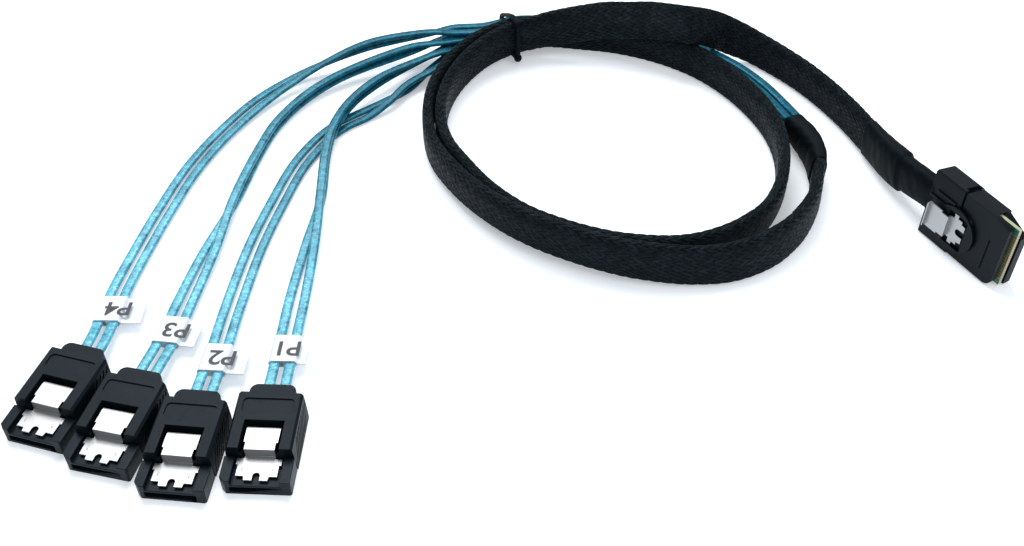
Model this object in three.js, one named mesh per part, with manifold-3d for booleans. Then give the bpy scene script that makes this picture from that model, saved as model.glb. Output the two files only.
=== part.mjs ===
// Mini SAS breakout cable: one wide card-edge plug, a flat braided sleeve, four latched SATA plugs.
// Millimetres, +Z up. The table is Z = 0 and the whole cable lies on it.
// Origin: middle of the box round the five plugs, at table height. +Y runs away from the viewer.
import * as THREE from 'three';
import { mergeVertices } from 'three/addons/utils/BufferGeometryUtils.js';
import Module from 'manifold-3d';

const wasm = await Module();
wasm.setup();

// Fits
const GAP = 0.3;              // clearance between neighbouring pieces
const THROUGH = 1;            // how far a cutter runs past the face it opens

// SATA plug: X across, Y from the mating face back to the leads, Z up from the table
const SATA_WIDTH = 14.7;
const SATA_BASE_HEIGHT = 4.3;
const SATA_BASE_LENGTH = 6.4;
const CORNER_CHAMFER = 1.1;
const CHANNEL_WIDTH = 10.2;
const CHANNEL_FLOOR = 2.95;
const SLOT_WIDTH = 10.8;
const SLOT_FLOOR = 0.75;
const SLOT_HEIGHT = 1.6;
const SLOT_DEPTH = 5.8;
const KEY_WIDTH = 1.2;
const KEY_HEIGHT = 0.5;
const TANG_WIDTH = 11.6;
const TANG_LENGTH = 6.5;
const TANG_FLOOR = 0.4;
const TANG_TOP = 3.2;
const BLOCK_LENGTH = 15;
const BLOCK_HEIGHT = 6.8;
const BLOCK_TOP_WIDTH = 13.9;
const BLOCK_FOOT_WIDTH = 15;
const BLOCK_EDGE = 0.5;
const BLOCK_CORNER = 1.2;
const WINDOW_WIDTH = 8.5;
const WINDOW_LENGTH = 7.6;
const WINDOW_FLOOR = 2.9;
const GUSSET_REACH = 0.7;
const GUSSET_LENGTH = 1.9;
const GUSSET_HEIGHT = 5.2;
const PANEL_WIDTH = 11;
const PANEL_LENGTH = 3.8;
const PANEL_DEPTH = 0.3;
const PANEL_CORNER = 1;
const PANEL_SETBACK = 1.6;
const GRIP_COUNT = 8;
const GRIP_PITCH = 1.4;
const GRIP_WIDTH = 0.45;
const GRIP_DEPTH = 0.35;
const GRIP_SLANT = Math.PI / 5;
const NECK_WIDTH = 10;
const NECK_LENGTH = 3;
const NECK_HEIGHT = 5.8;
const NECK_CORNER = 1.8;
const NECK_FLOOR = 0.7;

// SATA contacts
const CONTACT_COUNT = 7;
const CONTACT_PITCH = 1.27;
const CONTACT_WIDTH = 0.5;
const CONTACT_THICKNESS = 0.25;
const CONTACT_FRONT = 1;
const CONTACT_BUMP = 0.3;

// SATA latch
const SHEET = 0.3;
const PAD_TOP = 5.9;
const PAD_WIDTH = 7.2;
const PAD_NECK_WIDTH = 6.4;
const PAD_NECK_LENGTH = 1.9;
const PAD_LENGTH = 5.2;
const PAD_CURL = 0.9;
const PLATE_WIDTH = 9.5;
const PLATE_SHOULDER_WIDTH = 8.6;
const PLATE_FRONT = 1;
const TONGUE_LENGTH = 1;
const TONGUE_SPAN = 5;
const NOTCH_WIDTH = 1.5;
const NOTCH_DEPTH = 1.9;
const EAR_LENGTH = 1.6;
const LATCH_ROOT_LENGTH = 0.9;
const DIMPLE = 0.6;
const DIMPLE_SPAN = 6.4;

// Mini SAS plug, standing on its side edge: X from the cable forward, Y from the latch face back, Z up
const SAS_HEIGHT = 20;
const COVER_LENGTH = 9.3;
const COVER_THICKNESS = 7;
const COVER_SLOPE = 1.3;
const COVER_CHAMFER = 0.8;
const SHELL_INSET = 0.4;
const SHELL_NEAR = 0.3;
const SHELL_FAR = 6.4;
const NEAR_WALL_FRONT = 23.4;
const FAR_WALL_FRONT = 24.4;
const FAR_WALL_TOP_FRONT = 15;
const FAR_WALL_TOP_REAR = 17.7;
const ROOF_FRONT = 18.3;
const FLOOR_FRONT = 19.6;
const WALL_DROP = 1.2;
const NOSE_CORNER = 2.4;
const TAIL_LENGTH = 5.2;
const TAIL_WALL = 1;
const GROOVE_PLACE = 19.4;
const GROOVE_LOW = 3.5;
const GROOVE_HIGH = 12.7;
const GROOVE_SIZE = 0.35;
const BOSS_RADIUS = 6.3;
const BOSS_RISE = 0.6;
const LATCH_HEIGHT = 8.5;
const BOSS_PLACE = 9.5;
const RIB_WIDTH = 0.7;
const RIB_RISE = 0.35;
const UPPER_RIB = { height: 15, from: 2, to: 8 };
const LOWER_RIB = { height: 12.9, from: 0.4, to: 5.4 };
const LIP_NOTCH_DEPTH = 1;
const LIP_NOTCH_WIDTH = 4.4;
const LIP_NOTCH_DROP = 1.9;
const BOOT_SOCKET = 1.5;

// Paddle card
const CARD_THICKNESS = 1;
const CARD_MIDDLE = 3;
const CARD_BOTTOM = 0.9;
const CARD_TOP = 18.4;
const CARD_FRONT = 24.2;
const CARD_REAR = 11;
const CARD_CLEARANCE = 0.7;
const FINGER_COUNT = 18;
const FINGER_PITCH = 0.8;
const FINGER_WIDTH = 0.5;
const FINGER_LENGTH = 4;
const FINGER_RISE = 0.08;
const FINGER_SETBACK = 0.5;

// Mini SAS latch
const SAS_PAD_REAR = 2;
const SAS_PAD_FRONT = 8;
const SAS_PAD_RISE = 1.5;
const SAS_PAD_WIDTH = 7.3;
const SAS_PAD_NECK_WIDTH = 6.2;
const SAS_PAD_NECK_LENGTH = 2;
const SAS_LIP_RISE = 0.9;
const SAS_PLATE_WIDTH = 9;
const SAS_PLATE_SHOULDER_WIDTH = 7.2;
const SAS_PLATE_FRONT = 12.6;
const SAS_TONGUE_LENGTH = 1.2;
const SAS_TONGUE_SPAN = 5.2;
const SAS_NOTCH_WIDTH = 1.9;
const SAS_NOTCH_DEPTH = 2.4;
const SAS_EAR_LENGTH = 1.2;

// Cable
const SLEEVE_WIDTH = 10.2;
const SLEEVE_THICKNESS = 3.1;
const SLEEVE_STEPS = 80;
const LEAD_WIDTH = 2.4;
const LEAD_THICKNESS = 1.2;
const LEAD_STEPS = 44;
const TRUNK_SPACING = 2.7;
const STACKED_SPACING = 1.8;
const PLUG_SPACING = 3.5;
const SOCKET_DEPTH = 2;
const LEAD_ENTRY = 3.3;
const SOCKET_CLEARANCE = 0.35;

// Heat-shrunk boots: width across the flat cable and thickness through it
const BOOT_PLUG = { width: 10.4, thickness: 6 };
const BOOT_MIDDLE = { width: 11.2, thickness: 5.6 };
const BOOT_END = { width: 10.9, thickness: 4.2 };
const BOOT_STEP_PLACE = 0.42;
const BOOT_STEP_RISE = 1.2;
const BREAKOUT_SLEEVE_END = { width: 10.2, thickness: 4.2 };
const BREAKOUT_LEAD_END = { width: 7.6, thickness: 6 };

// Bundle tie
const TIE_WIDTH = 1.7;
const TIE_THICKNESS = 1.3;
const TIE_KNOT_RADIUS = 1.3;

// Labels
const LABEL_LENGTH = 6.6;
const LABEL_SHEET = 0.3;
const LABEL_CLEARANCE = 0.4;

// Routes, in order from the mini SAS plug to the SATA plugs. Points are [X, Y, Z].
const BOOT_ROUTE = [
  [98.7, 40.9, 10.2],
  [96.9, 44.4, 9.9],
  [94.4, 50.2, 8.7],
  [92.0, 57.4, 7.2],
  [90.1, 64.2, 6.2],
  [88.7, 68.9, 5.9],
];
const SLEEVE_ROUTE = [
  [88.6, 69.3, 5.9],
  [85.0, 80.0, 5.4],
  [80.2, 90.0, 5.3],
  [74.5, 99.0, 5.3],
  [64.5, 110.3, 5.6, 5],
  [56.5, 112.4, 8.5, 15],
  [51.3, 110.2, 12.1, 20],
  [47.0, 108.1, 14.5, 26],
  [42.5, 107.0, 15.9, 30],
  [37.4, 108.7, 15.6, 33],
  [33.3, 110.7, 14.8, 34],
  [27.2, 111.8, 14.0, 34],
  [21.1, 113.7, 12.8, 30],
  [14.6, 114.5, 11.3, 25],
  [8.1, 114.3, 10.1, 18],
  [0.9, 113.5, 8.8, 6],
  [-4.9, 112.2, 8.0, 3],
  [-12.8, 107.4, 6.9],
  [-18.8, 100.8, 5.7],
  [-22.8, 92.4, 5.2],
  [-24.8, 82.9, 5.2],
  [-24.6, 72.9, 5.2],
  [-22.2, 63.7, 5.2],
  [-17.6, 55.4, 5.2],
  [-11.1, 45.8, 5.2],
  [-2.4, 37.3, 5.2],
  [6.4, 32.2, 5.2],
  [16.6, 27.8, 5.3, -4],
  [25.7, 26.0, 5.3, -6],
  [35.2, 25.8, 5.4, -8],
  [43.8, 28.4, 5.4, -8],
  [50.6, 32.8, 5.3, -4],
  [56.6, 38.8, 5.2],
  [61.1, 46.8, 5.2],
  [63.8, 55.4, 5.2],
  [64.9, 65.4, 5.2],
  [63.7, 75.6, 5.2],
  [60.2, 85.4, 5.2],
  [55.0, 94.6, 5.2],
  [48.2, 102.8, 5.2],
  [40.7, 108.8, 5.2],
  [32.9, 113.0, 5.2],
  [24.2, 116.1, 5.2],
  [14.7, 117.9, 5.2],
  [4.7, 118.1, 6.0],
  [-4.9, 115.9, 6.8],
  [-13.7, 111.3, 6.4],
  [-20.4, 104.6, 5.7],
  [-25.3, 96.0, 5.2],
  [-28.0, 85.4, 5.2],
  [-28.2, 74.4, 5.4],
  [-26.2, 63.7, 5.8],
  [-21.0, 53.1, 6.4],
  [-13.7, 43.1, 7.0],
  [-4.3, 34.3, 7.4, -2],
  [4.9, 28.8, 7.4, -5],
  [15.6, 24.2, 7.2, -7],
  [25.2, 22.0, 6.6, -10],
  [37.2, 21.4, 5.7, -14],
  [46.6, 22.7, 5.5, -18],
  [55.7, 26.9, 5.5, -16],
  [63.5, 34.0, 5.4, -10],
  [69.8, 44.4, 5.3, -4],
  [72.8, 55.4, 5.2],
];
const BREAKOUT_ROUTE = [
  [72.9, 55.8, 5.2],
  [73.3, 62.0, 5.1],
  [72.3, 68.5, 4.9],
  [70.0, 75.4, 4.6],
];

// The eight leads share this trunk beside the sleeve. Z is the height of the lowest lead.
const TRUNK_ROUTE = [
  [69.7, 76.2, 2.2],
  [67.4, 84.0, 1.0],
  [63.6, 92.2, 0.8],
  [58.0, 100.4, 0.8],
  [51.2, 107.4, 0.8],
  [44.2, 112.4, 0.8],
  [36.2, 116.6, 0.8],
  [27.2, 120.3, 0.8],
  [16.7, 122.6, 0.8],
  [5.2, 123.0, 1.6],
  [-4.4, 121.1, 3.0],
  [-13.6, 116.9, 3.4],
];
const TRUNK_LAYER = 1.5;

// One entry for each SATA plug: where its mating face rests, how it is turned, its leads' layer in
// the trunk, its label, and its leads' own route from the trunk
const PORTS = [
  {
    name: 'P4', face: [-107.0, -27.5], turn: -16, layer: 3, labelDistance: 14, flag: 4.4,
    route: [
      [-22.8, 116.0, 7.8],
      [-27.7, 115.4, 7.6, 45],
      [-32.6, 114.6, 7.3, 80],
      [-47.3, 110.8, 6.2, 90],
      [-60.2, 104.8, 3.8, 60],
      [-68.5, 99.0, 2.2, 20],
      [-76.8, 89.4, 1.5],
      [-85.1, 74.9, 1.0],
      [-90.2, 61.5, 1.0],
      [-93.8, 46.7, 1.0],
      [-97.2, 28.9, 1.0],
      [-98.9, 16.4, 1.4],
      [-99.2, 6.2, 2.3],
    ],
  },
  {
    name: 'P3', face: [-91.8, -34.7], turn: -13, layer: 2, labelDistance: 14, flag: 3.2,
    route: [
      [-23.3, 113.9, 6.3],
      [-29.0, 112.0, 5.9, 45],
      [-34.8, 109.8, 5.5, 90],
      [-53.3, 101.0, 3.2, 90],
      [-63.2, 92.2, 2.0, 90],
      [-69.9, 80.5, 1.7, 90],
      [-73.2, 68.5, 1.7, 90],
      [-76.6, 49.7, 1.7, 90],
      [-80.0, 30.4, 1.3, 30],
      [-82.6, 13.5, 1.4],
      [-84.0, 1.3, 2.3],
    ],
  },
  {
    name: 'P2', face: [-75.2, -40.9], turn: -5.5, layer: 0, labelDistance: 11.2, flag: 3.8,
    route: [
      [-22.4, 110.2, 3.2],
      [-28.8, 103.8, 2.6, 45],
      [-35.3, 96.4, 2.0, 90],
      [-40.8, 90.2, 1.6, 45],
      [-46.3, 85.4, 0.9],
      [-52.0, 81.0, 0.8],
      [-56.4, 75.6, 0.8],
      [-61.8, 64.4, 0.8],
      [-65.8, 48.6, 0.9],
      [-69.0, 32.1, 1.0],
      [-71.2, 11.5, 1.2],
      [-71.9, -3.6, 2.3],
    ],
  },
  {
    name: 'P1', face: [-58.1, -39.4], turn: -2.5, layer: 1, labelDistance: 12.4, flag: 1.6,
    route: [
      [-22.8, 111.9, 4.8],
      [-27.8, 109.1, 4.5, 45],
      [-32.8, 105.7, 4.2, 70],
      [-42.8, 97.4, 3.9, 90],
      [-50.3, 87.3, 3.5, 90],
      [-54.0, 76.4, 3.4, 90],
      [-55.0, 66.4, 3.0, 90],
      [-54.8, 50.4, 1.8, 90],
      [-55.4, 33.9, 1.7, 60],
      [-56.4, 16.4, 1.0],
      [-56.8, -2.4, 2.3],
    ],
  },
];
const LEAD_STRAIGHT = 2;

// Where the mini SAS plug's rear lower corner stands, and how it is turned
const SAS_CORNER = [95.9, 39.3];
const SAS_TURN = -60;

// Middle of the tie, and the way across the bundle from its near side to its far side
const TIE_PLACE = [-6.5, 116.5, 0];
const TIE_TURN = 110.4;

// Inner corners of the tie, as the place across the bundle and the height
const TIE_CORNERS = [
  [-6.9, 1.3],
  [6.6, 1.6],
  [6.6, 9.2],
  [-2.6, 13.5],
  [-6.9, 13.5],
];
const TIE_ROUNDING = 1;

// Moves everything so that the box round the plugs is centred on the origin
const CENTRING = [0.06, -0.62, 0];

const DEGREE = Math.PI / 180;
const UP = new THREE.Vector3(0, 0, 1);

const blackPlastic = { color: 0x1b2125, roughness: 0.5, metalness: 0 };
const brightSteel = { color: 0xd9dcde, roughness: 0.25, metalness: 1 };
const gold = { color: 0xc9a24a, roughness: 0.3, metalness: 1 };
const cardGreen = { color: 0x1f6b4e, roughness: 0.45, metalness: 0 };
const shrinkBlack = { color: 0x0e1214, roughness: 0.7, metalness: 0 };
const braidBlack = { color: 0x14181b, roughness: 0.8, metalness: 0 };
const leadBlue = { color: 0x3fa9c9, roughness: 0.3, metalness: 0.3 };
const labelWhite = { color: 0xe8ebee, roughness: 0.6, metalness: 0 };

// Solids

function toSolid(geometry) {
  const bare = geometry.clone();
  bare.deleteAttribute('normal');
  bare.deleteAttribute('uv');
  const merged = mergeVertices(bare, 1e-5);
  const vertProperties = new Float32Array(merged.attributes.position.array);
  const triVerts = new Uint32Array(merged.index.array);
  return new wasm.Manifold(new wasm.Mesh({ numProp: 3, vertProperties, triVerts }));
}

function toGeometry(solid) {
  const mesh = solid.getMesh();
  const geometry = new THREE.BufferGeometry();
  geometry.setAttribute('position', new THREE.BufferAttribute(new Float32Array(mesh.vertProperties), 3));
  geometry.setIndex(new THREE.BufferAttribute(new Uint32Array(mesh.triVerts), 1));
  geometry.computeVertexNormals();
  return geometry;
}

// Block between two corners
function block(low, high) {
  const geometry = new THREE.BoxGeometry(high[0] - low[0], high[1] - low[1], high[2] - low[2]);
  geometry.translate((low[0] + high[0]) / 2, (low[1] + high[1]) / 2, (low[2] + high[2]) / 2);
  return toSolid(geometry);
}

function outline(points) {
  return new THREE.Shape(points.map(([x, y]) => new THREE.Vector2(x, y)));
}

// Plan shape in X and Y, raised from one height to another
function raised(shape, low, high) {
  const geometry = new THREE.ExtrudeGeometry(shape, { depth: high - low, bevelEnabled: false, curveSegments: 6 });
  geometry.translate(0, 0, low);
  return toSolid(geometry);
}

// Side shape in Y and Z, run along X
function alongX(shape, low, high) {
  const geometry = new THREE.ExtrudeGeometry(shape, { depth: high - low, bevelEnabled: false, curveSegments: 6 });
  geometry.translate(0, 0, low);
  geometry.applyMatrix4(new THREE.Matrix4().set(0, 0, 1, 0, 1, 0, 0, 0, 0, 1, 0, 0, 0, 0, 0, 1));
  return toSolid(geometry);
}

// Side shape in X and Z, run along Y
function alongY(shape, low, high) {
  const geometry = new THREE.ExtrudeGeometry(shape, { depth: high - low, bevelEnabled: false, curveSegments: 6 });
  geometry.translate(0, 0, -high);
  geometry.rotateX(Math.PI / 2);
  return toSolid(geometry);
}

// Rectangle whose corners are rounded, centred on X
function roundedRect(width, low, high, radius) {
  const half = width / 2;
  const shape = new THREE.Shape();
  shape.moveTo(-half + radius, low);
  shape.lineTo(half - radius, low);
  shape.absarc(half - radius, low + radius, radius, -Math.PI / 2, 0, false);
  shape.lineTo(half, high - radius);
  shape.absarc(half - radius, high - radius, radius, 0, Math.PI / 2, false);
  shape.lineTo(-half + radius, high);
  shape.absarc(-half + radius, high - radius, radius, Math.PI / 2, Math.PI, false);
  shape.lineTo(-half, low + radius);
  shape.absarc(-half + radius, low + radius, radius, Math.PI, Math.PI * 1.5, false);
  return shape;
}

function joined(solids) {
  return solids.reduce((sum, solid) => sum.add(solid));
}

function cutBy(solid, cutters) {
  return cutters.reduce((rest, cutter) => rest.subtract(cutter), solid);
}

function mesh(name, geometry, finish) {
  const part = new THREE.Mesh(geometry, new THREE.MeshStandardMaterial(finish));
  part.name = name;
  return part;
}

// SATA plug

function sataHousing() {
  const half = SATA_WIDTH / 2;
  const plan = outline([
    [-half + CORNER_CHAMFER, 0], [half - CORNER_CHAMFER / 3, 0], [half, CORNER_CHAMFER / 3],
    [half, SATA_BASE_LENGTH], [-half, SATA_BASE_LENGTH], [-half, CORNER_CHAMFER],
  ]);
  const tangEnd = SATA_BASE_LENGTH + TANG_LENGTH;
  const body = raised(plan, 0, SATA_BASE_HEIGHT)
    .add(block([-TANG_WIDTH / 2, SATA_BASE_LENGTH - THROUGH, TANG_FLOOR], [TANG_WIDTH / 2, tangEnd, TANG_TOP]));
  const slotTop = SLOT_FLOOR + SLOT_HEIGHT;
  const slitHalf = (CONTACT_COUNT * CONTACT_PITCH) / 2;
  return cutBy(body, [
    block([-CHANNEL_WIDTH / 2, -THROUGH, CHANNEL_FLOOR],
      [CHANNEL_WIDTH / 2, SATA_BASE_LENGTH + THROUGH, SATA_BASE_HEIGHT + THROUGH]),
    block([-SLOT_WIDTH / 2, -THROUGH, SLOT_FLOOR], [SLOT_WIDTH / 2, SLOT_DEPTH, slotTop]),
    block([SLOT_WIDTH / 2 - KEY_WIDTH, -THROUGH, SLOT_FLOOR - KEY_HEIGHT], [SLOT_WIDTH / 2, SLOT_DEPTH, slotTop]),
    block([-slitHalf, SLOT_DEPTH - THROUGH, SLOT_FLOOR],
      [slitHalf, tangEnd + THROUGH, SLOT_FLOOR + CONTACT_THICKNESS + 2 * GAP]),
  ]);
}

function grips(side) {
  const front = SATA_BASE_LENGTH + GAP + GRIP_PITCH;
  const slope = Math.atan2((BLOCK_FOOT_WIDTH - BLOCK_TOP_WIDTH) / 2, BLOCK_HEIGHT);
  const cutters = [];
  for (let index = 0; index < GRIP_COUNT; index += 1) {
    const bar = new THREE.BoxGeometry(GRIP_DEPTH * 2, GRIP_WIDTH, BLOCK_HEIGHT * 0.9);
    bar.rotateX(-GRIP_SLANT);
    bar.rotateY(-side * slope);
    const middle = (BLOCK_FOOT_WIDTH + BLOCK_TOP_WIDTH) / 4;
    bar.translate(side * middle, front + index * GRIP_PITCH + 1, BLOCK_HEIGHT * 0.45);
    cutters.push(toSolid(bar));
  }
  return cutters;
}

function sataOvermould() {
  const front = SATA_BASE_LENGTH + GAP;
  const back = SATA_BASE_LENGTH + BLOCK_LENGTH;
  const foot = BLOCK_FOOT_WIDTH / 2;
  const top = BLOCK_TOP_WIDTH / 2;
  const section = outline([
    [-foot, 0], [foot, 0], [top, BLOCK_HEIGHT - BLOCK_EDGE], [top - BLOCK_EDGE, BLOCK_HEIGHT],
    [-top + BLOCK_EDGE, BLOCK_HEIGHT], [-top, BLOCK_HEIGHT - BLOCK_EDGE],
  ]);
  const rounded = raised(roundedRect(BLOCK_FOOT_WIDTH, front - 2 * BLOCK_CORNER, back, BLOCK_CORNER), 0, BLOCK_HEIGHT);
  const shoulder = alongY(section, front, back).intersect(rounded);
  const neck = raised(roundedRect(NECK_WIDTH, back - 2 * NECK_CORNER, back + NECK_LENGTH, NECK_CORNER),
    NECK_FLOOR, NECK_HEIGHT);
  const armTop = GUSSET_HEIGHT;
  const windowHalf = WINDOW_WIDTH / 2;
  const windowBack = SATA_BASE_LENGTH + WINDOW_LENGTH;
  const window = block([-windowHalf, front - THROUGH, WINDOW_FLOOR], [windowHalf, windowBack, BLOCK_HEIGHT + THROUGH]);
  const gusset = (side) => alongX(
    outline([[front, BLOCK_HEIGHT / 2], [front + GUSSET_LENGTH, BLOCK_HEIGHT / 2], [front, armTop]]),
    Math.min(side * (windowHalf - GUSSET_REACH), side * (windowHalf + GAP)),
    Math.max(side * (windowHalf - GUSSET_REACH), side * (windowHalf + GAP)));
  const pocketTop = TANG_TOP + GAP;
  const pocket = block([-TANG_WIDTH / 2 - GAP, front - THROUGH, TANG_FLOOR - GAP],
    [TANG_WIDTH / 2 + GAP, SATA_BASE_LENGTH + TANG_LENGTH + GAP, pocketTop]);
  const panelBack = back - PANEL_SETBACK;
  const panel = raised(roundedRect(PANEL_WIDTH, panelBack - PANEL_LENGTH, panelBack, PANEL_CORNER),
    BLOCK_HEIGHT - PANEL_DEPTH, BLOCK_HEIGHT + THROUGH);
  const socketHalf = (PLUG_SPACING + LEAD_WIDTH) / 2 + SOCKET_CLEARANCE;
  const socketRise = LEAD_THICKNESS / 2 + SOCKET_CLEARANCE;
  const socket = block([-socketHalf, back + NECK_LENGTH - SOCKET_DEPTH, LEAD_ENTRY - socketRise],
    [socketHalf, back + NECK_LENGTH + THROUGH, LEAD_ENTRY + socketRise]);
  const shell = cutBy(shoulder.add(neck), [window, panel, ...grips(-1), ...grips(1)]);
  return cutBy(joined([shell, gusset(-1), gusset(1)]), [pocket, socket]);
}

function sataContact() {
  const low = SLOT_FLOOR + GAP;
  const high = low + CONTACT_THICKNESS;
  const back = SATA_BASE_LENGTH + TANG_LENGTH - THROUGH;
  const crest = CONTACT_FRONT + 2 * CONTACT_BUMP;
  const side = outline([
    [CONTACT_FRONT, low], [back, low], [back, high], [crest + 1, high], [crest, high + CONTACT_BUMP],
    [crest - CONTACT_BUMP, high + CONTACT_BUMP], [CONTACT_FRONT, high],
  ]);
  return alongX(side, -CONTACT_WIDTH / 2, CONTACT_WIDTH / 2);
}

// Front plate of a latch in plan: Y runs back from the tongues to the step
function latchPlate({ front, back, width, shoulder, root, tongueSpan, tongueLength, ear, notchWidth, notchDepth }) {
  const half = width / 2;
  const shoulderHalf = shoulder / 2;
  const rootHalf = root / 2;
  const tongue = tongueSpan / 2;
  const notch = notchWidth / 2;
  const shoulderFront = front + tongueLength;
  const earBack = back - LATCH_ROOT_LENGTH;
  const earFront = earBack - ear;
  const shape = new THREE.Shape();
  shape.moveTo(notch, front);
  shape.lineTo(tongue, front);
  shape.lineTo(tongue + GAP / 2, shoulderFront);
  shape.lineTo(shoulderHalf, shoulderFront);
  shape.lineTo(shoulderHalf, earFront);
  shape.lineTo(half, earFront);
  shape.lineTo(half, earBack);
  shape.lineTo(rootHalf, earBack);
  shape.lineTo(rootHalf, back);
  shape.lineTo(-rootHalf, back);
  shape.lineTo(-rootHalf, earBack);
  shape.lineTo(-half, earBack);
  shape.lineTo(-half, earFront);
  shape.lineTo(-shoulderHalf, earFront);
  shape.lineTo(-shoulderHalf, shoulderFront);
  shape.lineTo(-tongue - GAP / 2, shoulderFront);
  shape.lineTo(-tongue, front);
  shape.lineTo(-notch, front);
  shape.lineTo(-notch, front + notchDepth - notch);
  shape.absarc(0, front + notchDepth - notch, notch, Math.PI, 0, true);
  return shape;
}

function sataLatch() {
  const step = SATA_BASE_LENGTH + 2 * GAP;
  const plateLow = CHANNEL_FLOOR + GAP + 0.1;
  const plateTop = plateLow + SHEET;
  const plate = raised(latchPlate({
    front: PLATE_FRONT,
    back: step + SHEET,
    width: PLATE_WIDTH,
    shoulder: PLATE_SHOULDER_WIDTH,
    root: PAD_NECK_WIDTH,
    tongueSpan: TONGUE_SPAN,
    tongueLength: TONGUE_LENGTH,
    ear: EAR_LENGTH,
    notchWidth: NOTCH_WIDTH,
    notchDepth: NOTCH_DEPTH,
  }), plateLow, plateTop);
  const padLow = PAD_TOP - SHEET;
  const padBack = step + PAD_LENGTH;
  const riser = block([-PAD_NECK_WIDTH / 2, step, plateLow], [PAD_NECK_WIDTH / 2, step + SHEET, PAD_TOP]);
  const neckEnd = step + PAD_NECK_LENGTH;
  const neck = block([-PAD_NECK_WIDTH / 2, step, padLow], [PAD_NECK_WIDTH / 2, neckEnd + SHEET, PAD_TOP]);
  const pad = alongX(outline([
    [neckEnd, padLow], [padBack, padLow], [padBack + PAD_CURL * 0.6, padLow - PAD_CURL * 0.4],
    [padBack + PAD_CURL * 0.75, padLow - PAD_CURL], [padBack + PAD_CURL * 0.75 + SHEET, padLow - PAD_CURL],
    [padBack + PAD_CURL * 0.85, PAD_TOP - PAD_CURL * 0.3], [padBack, PAD_TOP], [neckEnd, PAD_TOP],
  ]), -PAD_WIDTH / 2, PAD_WIDTH / 2);
  const dimples = [-1, 1].map((side) => {
    const x = side * DIMPLE_SPAN / 2;
    const y = (PLATE_FRONT + step) / 2;
    return block([x - DIMPLE / 4, y - DIMPLE, plateTop - SHEET / 2], [x + DIMPLE / 4, y + DIMPLE / 2, plateTop + SHEET / 3]);
  });
  return joined([plate, riser, neck, pad, ...dimples]);
}

// Mini SAS plug

function sasCover() {
  const top = SAS_HEIGHT;
  const farTop = top - COVER_SLOPE;
  const far = COVER_THICKNESS;
  const side = outline([
    [0, COVER_CHAMFER / 2], [COVER_CHAMFER / 2, 0], [far - COVER_CHAMFER, 0], [far, COVER_CHAMFER],
    [far, farTop - COVER_CHAMFER], [far - COVER_CHAMFER, farTop], [COVER_CHAMFER / 2, top], [0, top - COVER_CHAMFER / 2],
  ]);
  const box = alongX(side, 0, COVER_LENGTH);
  const disc = new THREE.CylinderGeometry(BOSS_RADIUS, BOSS_RADIUS, BOSS_RISE, 36);
  disc.translate(BOSS_PLACE, -BOSS_RISE / 2, LATCH_HEIGHT);
  const lug = block([BOSS_PLACE - BOSS_RADIUS * 0.8, -BOSS_RISE / 2, LATCH_HEIGHT - BOSS_RADIUS / 2],
    [COVER_LENGTH, SHELL_NEAR + SHELL_INSET, LATCH_HEIGHT + BOSS_RADIUS / 2]);
  const rib = ({ height, from, to }) => block([from, -RIB_RISE, height - RIB_WIDTH / 2], [to, THROUGH, height + RIB_WIDTH / 2]);
  const body = joined([box, toSolid(disc), lug, rib(UPPER_RIB), rib(LOWER_RIB)]);
  const tailFront = COVER_LENGTH - TAIL_LENGTH;
  const socketWidth = BOOT_PLUG.width / 2 + GAP;
  const socketThickness = BOOT_PLUG.thickness / 2 + GAP;
  const middle = SAS_HEIGHT / 2 + 0.2;
  return cutBy(body, [
    block([tailFront - GAP, TAIL_WALL, SHELL_INSET + TAIL_WALL - GAP], [COVER_LENGTH + THROUGH,
      SHELL_FAR - TAIL_WALL + 2 * GAP, farTop - TAIL_WALL + GAP]),
    block([SAS_PAD_FRONT - 2 * GAP, -BOSS_RISE - THROUGH, LATCH_HEIGHT - SAS_PLATE_WIDTH / 2 - GAP],
      [SAS_PLATE_FRONT + 2 * GAP, SHELL_NEAR, LATCH_HEIGHT + SAS_PLATE_WIDTH / 2 + GAP]),
    block([COVER_LENGTH - LIP_NOTCH_DEPTH, far / 2 - LIP_NOTCH_WIDTH / 2, top - LIP_NOTCH_DROP],
      [COVER_LENGTH + THROUGH, far / 2 + LIP_NOTCH_WIDTH / 2, top + THROUGH]),
    block([-THROUGH, CARD_MIDDLE + GAP - socketThickness, middle - socketWidth],
      [BOOT_SOCKET, CARD_MIDDLE + GAP + socketThickness, middle + socketWidth]),
  ]);
}

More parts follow.
